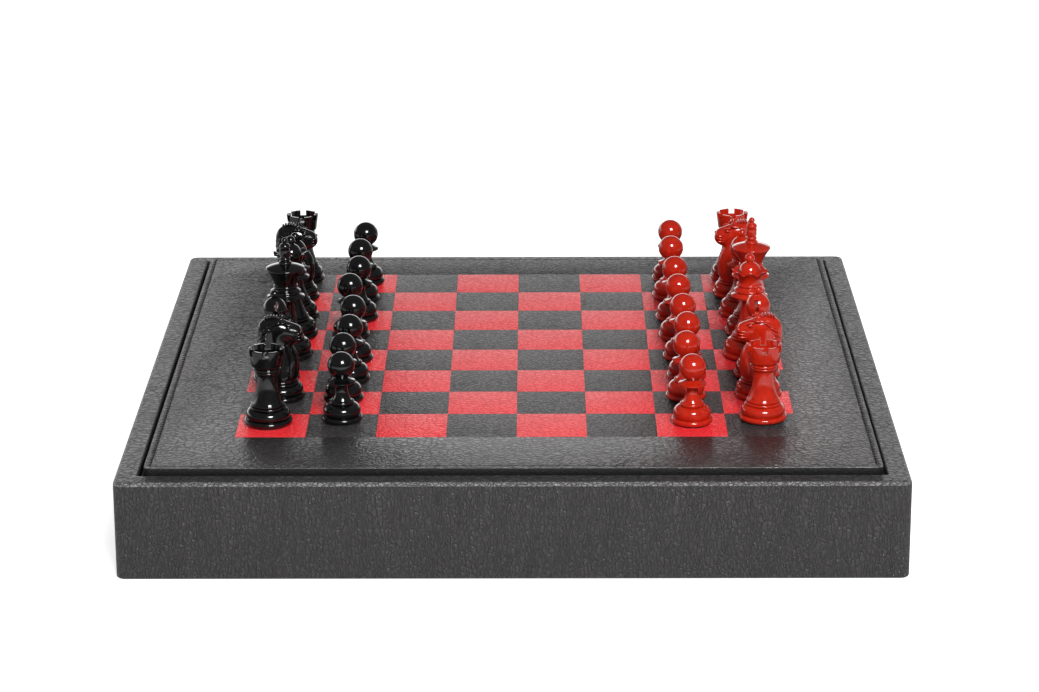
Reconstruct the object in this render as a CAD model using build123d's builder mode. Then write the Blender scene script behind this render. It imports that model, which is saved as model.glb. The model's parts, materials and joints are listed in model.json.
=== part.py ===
from build123d import *
from math import sqrt
import os

# A leather covered chess box: a square wooden case, a lift-out lid that is the board, and its 32 pieces.
# Sizes are in millimetres. +Z is up, the origin is the middle of the underside, and the players sit at
# the left (-X, black) and right (+X, red). "Front" is the -Y side.

# The board on the lid
square = 38.0
squares_across = 8
square_seam = 0.25
lid_border = 42.5
board_set_right = 1.5
board_set_back = 6.0

# Covering materials, by thickness
leather = 1.2
suede = 1.0
felt = 0.8

# The lid
lid_thickness = 10.0
lid_corner = 4.5
lid_edge = 1.5
lid_proud = 3.0
lid_slack = 5.0
lid_seat_shift = 0.5
lid_turn_in = 14.0
stitch_inset = 3.4
stitch_groove_width = 1.0
stitch_groove_depth = 0.5

# The case
rim_width = 12.0
case_corner = 5.0
rim_edge = 2.0
base_thickness = 6.0
base_rebate = 4.0
base_turn_in = 12.0
base_stand = 0.4
well_depth = 38.8
liner_thickness = 7.0
divider_thickness = 8.0
divider_housing = 3.0
housing_clearance = 0.2
hide_seam = 0.4

# What every turned piece shares
foot_rise = 2.8
foot_round = 0.9
ring_round = 0.6
collar_edge = 0.8
swell_belly = 0.35
stem_waist = 0.68
pad_inset = 1.3
glue_gap = 0.1
shortest_run = 0.001

# Pawn, from the foot up
pawn_foot = 11.3
pawn_swell = 10.3
pawn_swell_rise = 6.6
pawn_ring = 6.7
pawn_ring_rise = 1.9
pawn_stem = 3.4
pawn_stem_rise = 8.2
pawn_collar = 7.6
pawn_collar_rise = 1.9
pawn_collar_slope = 2.2
pawn_ball_seat = 3.6
pawn_ball = 7.5

# Rook
rook_foot = 13.2
rook_swell = 12.1
rook_swell_rise = 5.6
rook_ring = 9.8
rook_ring_rise = 1.6
rook_stem = 5.5
rook_stem_rise = 16.4
rook_neck_ring = 6.5
rook_crown_ring = 7.7
rook_crown_flare = 9.2
rook_flare_rise = 4.2
rook_crown = 9.8
rook_wall_rise = 6.8
rook_wall = 2.3
rook_cup_depth = 4.6
rook_notches = 6
rook_notch_width = 3.5
rook_notch_depth = 3.2

# Knight: a turned base and a carved head on a dowel. The head's outline is drawn from the middle of its
# seat, forwards and up.
knight_foot = 13.3
knight_swell = 12.3
knight_swell_rise = 5.4
knight_ring = 10.0
knight_ring_rise = 1.5
knight_neck = 9.2
knight_dowel = 3.0
knight_dowel_rise = 6.0
knight_chest = [(10.8, 6.5), (10.2, 13.0)]
knight_throat = (7.4, 18.4)
knight_chin = (11.2, 21.6)
knight_nose = (13.0, 25.5)
knight_muzzle = (9.8, 31.0)
knight_brow = (3.2, 33.0)
knight_ear = (-1.4, 36.0)
knight_poll = (-6.2, 35.2)
knight_mane = [(-11.0, 31.6), (-12.8, 25.5), (-12.7, 18.0), (-11.0, 8.0)]
knight_cheek = 6.6
knight_crest = 4.4
knight_easing = 1.2

# Bishop
bishop_foot = 13.3
bishop_swell = 12.2
bishop_swell_rise = 6.2
bishop_ring = 8.8
bishop_ring_rise = 1.6
bishop_stem = 4.1
bishop_stem_rise = 16.6
bishop_collar = 8.4
bishop_collar_rise = 1.6
bishop_collar_slope = 1.3
bishop_neck_ring = 5.6
bishop_neck_ring_rise = 1.4
bishop_head_seat = 3.6
bishop_head = 7.0
bishop_head_rise = 14.4
bishop_ball_seat = 1.7
bishop_ball = 2.5
bishop_slot = 1.8
bishop_slot_offset = 2.2
bishop_slot_depth = 10.5
bishop_slot_lean = 10.0

# Queen
queen_foot = 15.0
queen_swell = 13.9
queen_swell_rise = 7.2
queen_ring = 10.1
queen_ring_rise = 1.7
queen_stem = 4.7
queen_stem_rise = 20.3
queen_collar = 10.5
queen_collar_rise = 1.9
queen_collar_slope = 2.0
queen_middle_ring = 9.0
queen_upper_ring = 7.5
queen_cove_rise = 1.6
queen_waist = 6.4
queen_coronet = 10.3
queen_coronet_rise = 8.0
queen_coronet_wall = 1.0
queen_coronet_depth = 1.6
queen_points = 8
queen_scallop = 2.6
queen_dome = 6.4
queen_ball_seat = 1.9
queen_ball = 2.8

# King: turned like the queen up to the crown, with a separate finial pegged into it
king_foot = 15.0
king_swell = 13.9
king_stem = 4.9
king_stem_rise = 19.8
king_collar = 10.9
king_middle_ring = 8.8
king_upper_ring = 7.1
king_crown_seat = 6.4
king_crown = 11.2
king_crown_rise = 9.2
king_crown_hollow = 0.5
king_dome_rise = 2.2
finial_foot = 3.7
finial_foot_rise = 1.2
finial_peg = 1.5
finial_peg_depth = 6.0
finial_neck = 2.5
finial_cove_rise = 0.8
finial_ring = 3.1
finial_ring_rise = 2.0
finial_drum = 3.0
finial_drum_rise = 4.0
finial_bead_rise = 2.9
finial_ball_seat = 1.1
finial_ball = 1.75

# Who stands where: the officers from front to back, and how far each piece was put down from the middle
# of its square (right, back)
black_officers = ["rook_front", "knight_front", "bishop_front", "king", "queen",
                  "bishop_back", "knight_back", "rook_back"]
red_officers = ["rook_front", "knight_front", "bishop_front", "queen", "king",
                "bishop_back", "knight_back", "rook_back"]
black_officers_set = [(-2.5, 4.0), (1.5, 8.5), (-3.5, 2.0), (-0.5, 7.5),
                      (0.0, 7.5), (0.0, 5.0), (-2.0, 6.0), (-1.0, 7.0)]
red_officers_set = [(1.5, 9.5), (1.5, 11.0), (3.0, 8.0), (0.5, 7.0),
                    (4.0, 10.5), (1.0, 11.0), (-0.5, 11.5), (-0.5, 9.0)]
black_pawns_set = [(-0.5, 8.5), (-1.5, 4.5), (0.5, 0.5), (0.5, -0.5),
                   (-3.5, 5.0), (0.0, 3.0), (-1.0, 2.0), (0.5, 1.0)]
red_pawns_set = [(0.5, 4.0), (-1.0, 7.0), (1.0, 4.5), (0.0, 1.5),
                 (-1.0, 2.5), (-1.5, 1.0), (-2.0, 7.0), (-1.0, 5.0)]

# Sizes that follow from those above
board_side = square * squares_across
lid_side = board_side + 2 * lid_border
lid_core_side = lid_side - 2 * leather
lid_core_thickness = lid_thickness - 2 * leather
opening_side = lid_side + lid_slack
case_side = opening_side + 2 * rim_width
core_side = case_side - 2 * leather
core_opening = opening_side + 2 * leather
core_foot = base_stand + leather
floor_height = core_foot + base_thickness + suede
ledge_height = floor_height + well_depth
case_height = ledge_height + lid_thickness - lid_proud
core_height = case_height - leather - core_foot
base_side = core_opening + 2 * base_rebate
base_window = case_side - 2 * base_turn_in
lid_window = lid_side - 2 * lid_turn_in
well_side = core_opening - 2 * liner_thickness
board_height = ledge_height + lid_thickness
lid_plane = Plane(origin=(lid_seat_shift, 0, ledge_height))
board_right = lid_seat_shift + board_set_right
squares_plane = Plane(origin=(board_right, board_set_back, board_height - leather))

os.makedirs("parts", exist_ok=True)


def keep(builder, name):
    """Labels a finished piece and writes it as its own STEP file."""
    builder.part.label = name
    export_step(builder.part, f"parts/{name}.step")


# The four wall boards, mitred at the corners and rebated for the base

wall_names = ["front_wall", "right_wall", "back_wall", "left_wall"]
for count, wall_name in enumerate(wall_names):
    with BuildPart() as wall:
        with BuildSketch(Plane.XY.offset(core_foot)):
            RectangleRounded(core_side, core_side, case_corner - leather)
            Rectangle(core_opening, core_opening, mode=Mode.SUBTRACT)
            Polygon((0, 0), (-core_side, -core_side), (core_side, -core_side),
                    rotation=count * 360 / len(wall_names), mode=Mode.INTERSECT)
        extrude(amount=core_height)
        with BuildSketch(Plane.XY.offset(core_foot)):
            Rectangle(base_side, base_side)
        extrude(amount=base_thickness, mode=Mode.SUBTRACT)
    keep(wall, wall_name)

# The base board, let into the rebate, with the suede floor over it and the cover under it

with BuildPart() as base_board:
    with BuildSketch(Plane.XY.offset(core_foot)):
        Rectangle(base_side, base_side)
    extrude(amount=base_thickness)
keep(base_board, "base_board")

with BuildPart() as floor_lining:
    with BuildSketch(Plane.XY.offset(core_foot + base_thickness)):
        Rectangle(core_opening, core_opening)
    extrude(amount=suede)
keep(floor_lining, "floor_lining")

with BuildPart() as base_cover:
    with BuildSketch(Plane.XY):
        Rectangle(base_window - 2 * hide_seam, base_window - 2 * hide_seam)
    extrude(amount=core_foot)
keep(base_cover, "base_cover")

# One hide wraps the walls: under the edge, up the outside, over the rim and down to the lid's ledge

with BuildPart() as wall_cover:
    with BuildSketch(Plane.XY.offset(base_stand)):
        RectangleRounded(case_side, case_side, case_corner)
    extrude(amount=case_height - base_stand)
    fillet(wall_cover.faces().sort_by(Axis.Z)[-1].edges(), radius=rim_edge)
    fillet(wall_cover.faces().sort_by(Axis.Z)[0].edges(), radius=leather)
    with BuildSketch(Plane.XY.offset(case_height)):
        Rectangle(opening_side, opening_side)
    extrude(amount=ledge_height - case_height, mode=Mode.SUBTRACT)
    fillet(wall_cover.faces().sort_by(Axis.Z)[-1].inner_wires().edges(), radius=leather)
    with BuildSketch(Plane.XY.offset(core_foot)):
        RectangleRounded(core_side, core_side, case_corner - leather)
    extrude(amount=ledge_height - core_foot, mode=Mode.SUBTRACT)
    with BuildSketch(Plane.XY.offset(ledge_height)):
        RectangleRounded(core_side, core_side, case_corner - leather)
        Rectangle(core_opening, core_opening, mode=Mode.SUBTRACT)
    extrude(amount=core_foot + core_height - ledge_height, mode=Mode.SUBTRACT)
    with BuildSketch(Plane.XY.offset(base_stand)):
        Rectangle(base_window, base_window)
    extrude(amount=leather, mode=Mode.SUBTRACT)
keep(wall_cover, "wall_cover")

# Suede covered liners stand round the well. Their tops are the ledge that carries the lid.

liner_middle = (core_opening - liner_thickness) / 2
for liner_name, side in {"front_liner": -1, "back_liner": 1}.items():
    with BuildPart() as liner:
        with BuildSketch(Plane.XY.offset(floor_height)):
            with Locations((0, side * liner_middle)):
                Rectangle(core_opening, liner_thickness)
            with Locations((0, side * (well_side + divider_housing) / 2)):
                Rectangle(divider_thickness + 2 * housing_clearance, divider_housing, mode=Mode.SUBTRACT)
        extrude(amount=well_depth)
    keep(liner, liner_name)

for liner_name, side in {"left_liner": -1, "right_liner": 1}.items():
    with BuildPart() as liner:
        with BuildSketch(Plane.XY.offset(floor_height)):
            with Locations((side * liner_middle, 0)):
                Rectangle(liner_thickness, well_side)
        extrude(amount=well_depth)
    keep(liner, liner_name)

# The divider between the two wells, housed in the front and back liners

with BuildPart() as divider:
    with BuildSketch(Plane.XY.offset(floor_height)):
        Rectangle(divider_thickness, well_side + 2 * (divider_housing - housing_clearance))
    extrude(amount=well_depth)
keep(divider, "divider")

# The lid: a board, a leather frame turned round its edges, the squares, and a suede underside

with BuildPart() as lid_board:
    with BuildSketch(lid_plane.offset(leather)):
        RectangleRounded(lid_core_side, lid_core_side, lid_corner - leather)
    extrude(amount=lid_core_thickness)
keep(lid_board, "lid_board")

with BuildPart() as lid_cover:
    with BuildSketch(lid_plane):
        RectangleRounded(lid_side, lid_side, lid_corner)
    extrude(amount=lid_thickness)
    fillet(lid_cover.faces().sort_by(Axis.Z)[-1].edges(), radius=lid_edge)
    fillet(lid_cover.faces().sort_by(Axis.Z)[0].edges(), radius=leather)
    with BuildSketch(lid_plane.offset(lid_thickness)):
        groove_outer = lid_side - 2 * stitch_inset + stitch_groove_width
        groove_inner = groove_outer - 2 * stitch_groove_width
        Rectangle(groove_outer, groove_outer)
        Rectangle(groove_inner, groove_inner, mode=Mode.SUBTRACT)
    extrude(amount=-stitch_groove_depth, mode=Mode.SUBTRACT)
    with BuildSketch(lid_plane.offset(leather)):
        RectangleRounded(lid_core_side, lid_core_side, lid_corner - leather)
    extrude(amount=lid_core_thickness, mode=Mode.SUBTRACT)
    with BuildSketch(squares_plane):
        Rectangle(board_side, board_side)
    extrude(amount=leather, mode=Mode.SUBTRACT)
    with BuildSketch(lid_plane):
        Rectangle(lid_window, lid_window)
    extrude(amount=leather, mode=Mode.SUBTRACT)
keep(lid_cover, "lid_cover")

with BuildPart() as lid_lining:
    with BuildSketch(lid_plane):
        Rectangle(lid_window - 2 * hide_seam, lid_window - 2 * hide_seam)
    extrude(amount=leather)
keep(lid_lining, "lid_lining")


def square_middle(column, row):
    """The middle of a square from the board's own middle, counted from the front left corner."""
    half = (squares_across - 1) / 2
    return (column - half) * square, (row - half) * square


# The front left square is red, and the colours alternate from there
for squares_name, parity in {"red_squares": 0, "black_squares": 1}.items():
    middles = [square_middle(column, row)
               for column in range(squares_across)
               for row in range(squares_across)
               if (column + row) % 2 == parity]
    with BuildPart() as squares:
        with BuildSketch(squares_plane):
            with Locations(*middles):
                Rectangle(square - square_seam, square - square_seam)
        extrude(amount=leather)
    keep(squares, squares_name)


class Outline:
    """Half the outline of a turned piece, built from the middle of its foot upwards."""

    def __init__(self, height):
        self.height = height
        self.here = (0, height)
        self.runs = []

    def line(self, radius, rise=0.0):
        """A straight run out or in to a radius. A run of no length is left out."""
        if abs(radius - self.here[0]) + abs(rise) < shortest_run:
            return
        self.height += rise
        there = (radius, self.height)
        self.runs.append((self.here, there))
        self.here = there

    def arc(self, through, radius, rise, share=0.5):
        """A round run to a radius, through another radius at a share of the rise."""
        middle = (through, self.height + share * rise)
        self.height += rise
        there = (radius, self.height)
        self.runs.append((self.here, middle, there))
        self.here = there

    def ring(self, radius, rise):
        """A half round moulding that stands out to a radius."""
        self.line(radius - ring_round)
        self.arc(radius, radius - ring_round, rise)

    def pedestal(self, foot, swell, swell_rise, ring, ring_rise, rings=2):
        """The foot, the swelling over it and the rings under the stem."""
        self.line(foot - foot_round)
        self.arc(foot, foot - foot_round, foot_rise)
        self.line(swell - foot_round)
        self.arc(swell, ring - ring_round, swell_rise, swell_belly)
        for count in range(rings):
            self.ring(ring - count * ring_round, ring_rise)

    def collar(self, radius, rise, slope, top):
        """A sharp disc under a head: it opens upwards, has a thin edge and hollows back in."""
        self.line(radius, rise)
        self.line(radius, collar_edge)
        self.arc((radius + 2 * top) / 3, top, slope)

    def ball(self, radius, seat):
        """A ball on the end of a neck of the seat's radius, which closes the outline."""
        self.line(seat)
        middle = self.height + sqrt(radius ** 2 - seat ** 2)
        top = (0, middle + radius)
        self.runs.append((self.here, (radius, middle), top))
        self.here = top

    def draw(self):
        """Puts the runs into the sketch's line and closes them along the axis."""
        for run in self.runs:
            if len(run) == 2:
                Line(*run)
            else:
                ThreePointArc(*run)
        if self.here[0] > 0:
            Line(self.here, (0, self.here[1]))
        Line((0, self.here[1]), self.runs[0][0])


def upright(place, facing=1):
    """The upright plane through a piece's axis, its x to the side that the piece faces."""
    return Plane(origin=place, x_dir=(facing, 0, 0), z_dir=(0, -facing, 0))


def turned(outline, place):
    """Turns an outline about the piece's own axis."""
    with BuildPart() as turning:
        with BuildSketch(upright(place)):
            with BuildLine():
                outline.draw()
            make_face()
        revolve(axis=Axis(place, (0, 0, 1)))
    return turning


def keep_with_pad(builder, name, place, foot):
    """Writes a piece together with the felt pad glued under its foot."""
    with BuildPart() as pad:
        with BuildSketch(Plane(origin=place)):
            Circle(foot - pad_inset)
        extrude(amount=felt)
    whole = Compound(label=name, children=[builder.part, pad.part])
    export_step(whole, f"parts/{name}.step")


def make_pawn(name, place, facing):
    outline = Outline(felt)
    outline.pedestal(pawn_foot, pawn_swell, pawn_swell_rise, pawn_ring, pawn_ring_rise, rings=1)
    outline.line(pawn_ring - 2 * ring_round)
    outline.arc(pawn_stem, pawn_stem, pawn_stem_rise, stem_waist)
    outline.collar(pawn_collar, pawn_collar_rise, pawn_collar_slope, pawn_ball_seat)
    outline.ball(pawn_ball, pawn_ball_seat)
    keep_with_pad(turned(outline, place), name, place, pawn_foot)


def make_rook(name, place, facing):
    outline = Outline(felt)
    outline.pedestal(rook_foot, rook_swell, rook_swell_rise, rook_ring, rook_ring_rise)
    outline.arc(rook_stem, rook_stem, rook_stem_rise, stem_waist)
    outline.ring(rook_neck_ring, rook_ring_rise)
    outline.ring(rook_crown_ring, rook_ring_rise)
    outline.line(rook_crown_flare, rook_flare_rise)
    outline.line(rook_crown, rook_wall_rise)
    outline.line(rook_crown - rook_wall)
    outline.line(rook_crown - rook_wall, -rook_cup_depth)
    rook_height = outline.height + rook_cup_depth
    blank = turned(outline, place)
    with BuildPart() as rook:
        add(blank)
        with BuildSketch(Plane(origin=(place[0], place[1], place[2] + rook_height))):
            with PolarLocations(rook_crown, rook_notches, start_angle=90):
                Rectangle(2 * rook_crown - rook_wall, rook_notch_width)
        extrude(amount=-rook_notch_depth, mode=Mode.SUBTRACT)
    keep_with_pad(rook, name, place, rook_foot)


def make_knight(name, place, facing):
    outline = Outline(felt)
    outline.pedestal(knight_foot, knight_swell, knight_swell_rise, knight_ring, knight_ring_rise)
    seat_height = outline.height
    outline.line(knight_dowel)
    outline.line(knight_dowel, knight_dowel_rise)
    keep_with_pad(turned(outline, place), f"{name}_base", place, knight_foot)

    seat = (place[0], place[1], place[2] + seat_height)
    top = knight_ear[1]
    with BuildPart() as knight_head:
        with BuildSketch(upright(seat, facing).offset(-knight_neck)):
            with BuildLine():
                Spline((knight_neck, 0), *knight_chest, knight_throat)
                Line(knight_throat, knight_chin)
                ThreePointArc(knight_chin, knight_nose, knight_muzzle)
                Polyline(knight_muzzle, knight_brow, knight_ear, knight_poll)
                Spline(knight_poll, *knight_mane, (-knight_neck, 0))
                Line((-knight_neck, 0), (knight_neck, 0))
            make_face()
        extrude(amount=2 * knight_neck)
        with BuildSketch(Plane(origin=seat, x_dir=(0, facing, 0), z_dir=(facing, 0, 0))):
            with BuildLine():
                ThreePointArc((knight_neck, 0), (knight_cheek, top / 2), (knight_crest, top))
                Line((knight_crest, top), (-knight_crest, top))
                ThreePointArc((-knight_crest, top), (-knight_cheek, top / 2), (-knight_neck, 0))
                Line((-knight_neck, 0), (knight_neck, 0))
            make_face()
        extrude(amount=square, both=True, mode=Mode.INTERSECT)
        fillet(knight_head.edges().filter_by(GeomType.LINE, reverse=True), radius=knight_easing)
        with BuildSketch(upright(seat)):
            Polygon((0, 0), (knight_neck, 0), (knight_neck + top, top), (0, top))
        revolve(axis=Axis(seat, (0, 0, 1)), mode=Mode.INTERSECT)
        with BuildSketch(Plane(origin=seat)):
            Circle(knight_dowel + glue_gap)
        extrude(amount=knight_dowel_rise + glue_gap, mode=Mode.SUBTRACT)
    keep(knight_head, f"{name}_head")


def make_bishop(name, place, facing):
    outline = Outline(felt)
    outline.pedestal(bishop_foot, bishop_swell, bishop_swell_rise, bishop_ring, bishop_ring_rise)
    outline.arc(bishop_stem, bishop_stem, bishop_stem_rise, stem_waist)
    outline.collar(bishop_collar, bishop_collar_rise, bishop_collar_slope, bishop_neck_ring - ring_round)
    outline.ring(bishop_neck_ring, bishop_neck_ring_rise)
    outline.line(bishop_head_seat)
    outline.arc(bishop_head, bishop_ball_seat, bishop_head_rise)
    head_top = place[2] + outline.height
    outline.ball(bishop_ball, bishop_ball_seat)
    blank = turned(outline, place)
    slot_plane = Plane(origin=(place[0] + facing * bishop_slot_offset, place[1], head_top),
                       x_dir=(facing, 0, 0), z_dir=(0, -facing, 0)).rotated((0, 0, bishop_slot_lean))
    with BuildPart() as bishop:
        add(blank)
        with BuildSketch(slot_plane):
            Rectangle(bishop_slot, 2 * bishop_slot_depth)
        extrude(amount=bishop_head, both=True, mode=Mode.SUBTRACT)
    keep_with_pad(bishop, name, place, bishop_foot)


def royal_stem(foot, swell, stem, stem_rise, collar, middle_ring, upper_ring):
    """The lower part that the queen and the king share, up to the seat of the crown."""
    outline = Outline(felt)
    outline.pedestal(foot, swell, queen_swell_rise, queen_ring, queen_ring_rise)
    outline.arc(stem, stem, stem_rise, stem_waist)
    outline.collar(collar, queen_collar_rise, queen_collar_slope, middle_ring - ring_round)
    outline.ring(middle_ring, queen_ring_rise)
    outline.line(upper_ring - ring_round, queen_cove_rise)
    outline.ring(upper_ring, queen_ring_rise)
    return outline


def make_queen(name, place, facing):
    outline = royal_stem(queen_foot, queen_swell, queen_stem, queen_stem_rise,
                         queen_collar, queen_middle_ring, queen_upper_ring)
    outline.line(queen_waist)
    outline.arc(queen_waist + ring_round, queen_coronet, queen_coronet_rise)
    rim_height = place[2] + outline.height
    outline.line(queen_coronet - queen_coronet_wall)
    outline.line(queen_dome, -queen_coronet_depth)
    dome_rise = sqrt(queen_dome ** 2 - queen_ball_seat ** 2)
    outline.arc(sqrt(queen_dome ** 2 - (dome_rise / 2) ** 2), queen_ball_seat, dome_rise)
    outline.ball(queen_ball, queen_ball_seat)
    blank = turned(outline, place)
    with BuildPart() as queen:
        add(blank)
        with Locations((place[0], place[1], rim_height)):
            with PolarLocations(queen_coronet, queen_points):
                Cylinder(queen_scallop, 2 * (queen_coronet - queen_dome - queen_coronet_wall),
                         rotation=(0, 90, 0), mode=Mode.SUBTRACT)
    keep_with_pad(queen, name, place, queen_foot)


def make_king(name, place, facing):
    outline = royal_stem(king_foot, king_swell, king_stem, king_stem_rise,
                         king_collar, king_middle_ring, king_upper_ring)
    outline.line(king_crown_seat)
    outline.arc((king_crown_seat + king_crown) / 2 - king_crown_hollow, king_crown, king_crown_rise)
    outline.line(king_crown, collar_edge)
    outline.arc((king_crown + finial_foot) / 2, finial_foot, king_dome_rise, 1 - swell_belly)
    finial_height = outline.height
    outline.line(finial_peg + glue_gap)
    outline.line(finial_peg + glue_gap, -finial_peg_depth - glue_gap)
    keep_with_pad(turned(outline, place), name, place, king_foot)

    outline = Outline(finial_height - finial_peg_depth)
    outline.line(finial_peg)
    outline.line(finial_peg, finial_peg_depth)
    outline.line(finial_foot)
    outline.line(finial_foot, finial_foot_rise)
    outline.line(finial_neck, finial_cove_rise)
    outline.ring(finial_ring, finial_ring_rise)
    outline.line(finial_neck, finial_cove_rise)
    outline.line(finial_drum)
    outline.line(finial_drum, finial_drum_rise)
    outline.line(finial_neck)
    outline.ring(finial_ring, finial_bead_rise)
    outline.line(finial_ball_seat, finial_cove_rise)
    outline.ball(finial_ball, finial_ball_seat)
    keep(turned(outline, place), f"{name}_finial")


# Set the board: black along the left edge and red along the right, with the pawns one column in

makers = {"pawn": make_pawn, "rook": make_rook, "knight": make_knight,
          "bishop": make_bishop, "queen": make_queen, "king": make_king}
pawn_names = [f"pawn_{row + 1}" for row in range(squares_across)]
ranks = [("black", 1, 0, black_officers, black_officers_set),
         ("black", 1, 1, pawn_names, black_pawns_set),
         ("red", -1, squares_across - 2, pawn_names, red_pawns_set),
         ("red", -1, squares_across - 1, red_officers, red_officers_set)]
for colour, facing, column, names, set_down in ranks:
    for row, (piece, (right, back)) in enumerate(zip(names, set_down)):
        across, along = square_middle(column, row)
        stand = (board_right + across + right, board_set_back + along + back, board_height)
        makers[piece.split("_")[0]](f"{colour}_{piece}", stand, facing)
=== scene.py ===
# %% [markdown]
# # A leather chess box with its set
# The box is a square case in grained black leather. Its lid is the chessboard: it lies loose in the rim, with a gap
# all round, and the turned and lacquered set stands on it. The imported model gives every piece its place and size,
# so this lesson only adds finish: leather with its grain, lacquer, suede, thread and softened edges.

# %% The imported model
import bpy
import bmesh
import json
from math import atan2, cos, hypot, pi, radians, sin, sqrt, tau
from mathutils import Matrix, Vector

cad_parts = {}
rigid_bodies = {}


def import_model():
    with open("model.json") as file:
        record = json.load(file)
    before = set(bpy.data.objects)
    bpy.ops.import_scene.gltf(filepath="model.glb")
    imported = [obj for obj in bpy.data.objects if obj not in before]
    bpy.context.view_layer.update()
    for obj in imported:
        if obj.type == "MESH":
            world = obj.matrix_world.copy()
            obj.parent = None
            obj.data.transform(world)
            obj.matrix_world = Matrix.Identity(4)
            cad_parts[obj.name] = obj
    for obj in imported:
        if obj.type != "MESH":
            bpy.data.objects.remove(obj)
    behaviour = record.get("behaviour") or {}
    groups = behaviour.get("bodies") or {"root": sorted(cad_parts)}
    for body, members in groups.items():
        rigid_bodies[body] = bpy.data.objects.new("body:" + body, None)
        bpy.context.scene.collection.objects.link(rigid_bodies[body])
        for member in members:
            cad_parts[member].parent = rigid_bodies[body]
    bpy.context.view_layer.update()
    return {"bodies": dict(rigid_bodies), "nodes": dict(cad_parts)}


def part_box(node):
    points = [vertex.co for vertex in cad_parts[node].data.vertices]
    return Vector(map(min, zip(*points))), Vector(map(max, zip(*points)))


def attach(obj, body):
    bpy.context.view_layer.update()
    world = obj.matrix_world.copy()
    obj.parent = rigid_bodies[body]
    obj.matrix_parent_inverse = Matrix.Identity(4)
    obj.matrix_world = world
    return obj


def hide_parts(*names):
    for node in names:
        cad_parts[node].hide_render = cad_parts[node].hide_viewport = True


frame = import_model()
MM = 0.001

# %% [markdown]
# ## The camera
# The board is a grid of equal squares, so it tells where the camera stood: a long lens, about two metres in front
# of the box and well above it. The values below are that position from the middle of the board, in squares, and the
# way the camera is turned.

# %% Camera at the photograph's place
SQUARE = 38 * MM
board_low, board_high = (Vector(corner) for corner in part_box("red_squares"))
BOARD_MIDDLE = Vector(((board_low.x + board_high.x) / 2, (board_low.y + board_high.y) / 2, board_high.z))
CAMERA_FROM_BOARD = Vector((0.249, -47.896, 15.605)) * SQUARE
LOOKING_DOWN = radians(17.984)
TURNED_LEFT = radians(0.266)
ROLLED = radians(-0.185)
FOCAL_PIXELS = 3282.7
PHOTO_WIDTH = 1039
SENSOR = 36.0

camera_data = bpy.data.cameras.new("camera")
camera_data.sensor_fit = "HORIZONTAL"
camera_data.sensor_width = SENSOR
camera_data.lens = SENSOR * FOCAL_PIXELS / PHOTO_WIDTH
camera_data.clip_end = 50
camera = bpy.data.objects.new("camera", camera_data)
turn = Matrix.Rotation(TURNED_LEFT, 4, "Z") @ Matrix.Rotation(pi / 2 - LOOKING_DOWN, 4, "X")
camera.matrix_world = Matrix.Translation(BOARD_MIDDLE + CAMERA_FROM_BOARD) @ turn @ Matrix.Rotation(ROLLED, 4, "Z")
bpy.context.scene.collection.objects.link(camera)
bpy.context.scene.camera = camera
bpy.context.scene.view_settings.view_transform = "Standard"
print("camera at", [round(v, 3) for v in camera.matrix_world.translation], "lens", round(camera_data.lens, 1))

# %% [markdown]
# ## Nodes
# The world, the floor and every finish are node trees. These helpers add a node, or a few that belong together, and
# hand back the socket to go on from.


# %% Node helpers
def new_finish(name):
    """An empty material, its node tree and its shader."""
    material = bpy.data.materials.new(name)
    material.use_nodes = True
    return material, material.node_tree, material.node_tree.nodes["Principled BSDF"]


def add_node(tree, kind, values=(), **settings):
    """A node with its settings and the values of its inputs."""
    node = tree.nodes.new(kind)
    for key_name, value in settings.items():
        setattr(node, key_name, value)
    for socket, value in dict(values).items():
        node.inputs[socket].default_value = value
    return node


def stretched(tree, cell):
    """Object coordinates divided by a cell's size in millimetres, along X, Y and Z."""
    place = add_node(tree, "ShaderNodeTexCoord")
    size = add_node(tree, "ShaderNodeMapping", {"Scale": [1 / (side * MM) for side in cell]})
    tree.links.new(place.outputs["Object"], size.inputs["Vector"])
    return size.outputs["Vector"]


def bent(tree, vector, scale, amount):
    """The same coordinates pushed about by noise."""
    noise = add_node(tree, "ShaderNodeTexNoise", {"Scale": scale, "Detail": 2.0})
    tree.links.new(vector, noise.inputs["Vector"])
    centre = add_node(tree, "ShaderNodeVectorMath", {1: (0.5, 0.5, 0.5)}, operation="SUBTRACT")
    tree.links.new(noise.outputs["Color"], centre.inputs[0])
    push = add_node(tree, "ShaderNodeVectorMath", {"Scale": amount}, operation="SCALE")
    tree.links.new(centre.outputs[0], push.inputs[0])
    moved = add_node(tree, "ShaderNodeVectorMath", operation="ADD")
    tree.links.new(vector, moved.inputs[0])
    tree.links.new(push.outputs[0], moved.inputs[1])
    return moved.outputs[0]


def ranged(tree, value, low, high, to_low, to_high):
    """A value mapped from one range to another."""
    mapped = add_node(tree, "ShaderNodeMapRange",
                      {"From Min": low, "From Max": high, "To Min": to_low, "To Max": to_high})
    tree.links.new(value, mapped.inputs["Value"])
    return mapped.outputs["Result"]


def mixed(tree, factor, first, second):
    """A colour between two, by a factor. The Mix node's colour sockets share their names with its number
    sockets, so they are chosen by their kind."""
    mix = add_node(tree, "ShaderNodeMix", data_type="RGBA")
    start, end = (s for s in mix.inputs if s.type == "RGBA")
    start.default_value = (*first, 1)
    end.default_value = (*second, 1)
    tree.links.new(factor, mix.inputs["Factor"])
    return next(s for s in mix.outputs if s.type == "RGBA")


def summed(tree, first, second, share):
    """One value plus a share of another."""
    total = add_node(tree, "ShaderNodeMath", {1: share}, operation="MULTIPLY_ADD")
    tree.links.new(second, total.inputs[0])
    tree.links.new(first, total.inputs[2])
    return total.outputs[0]


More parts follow.
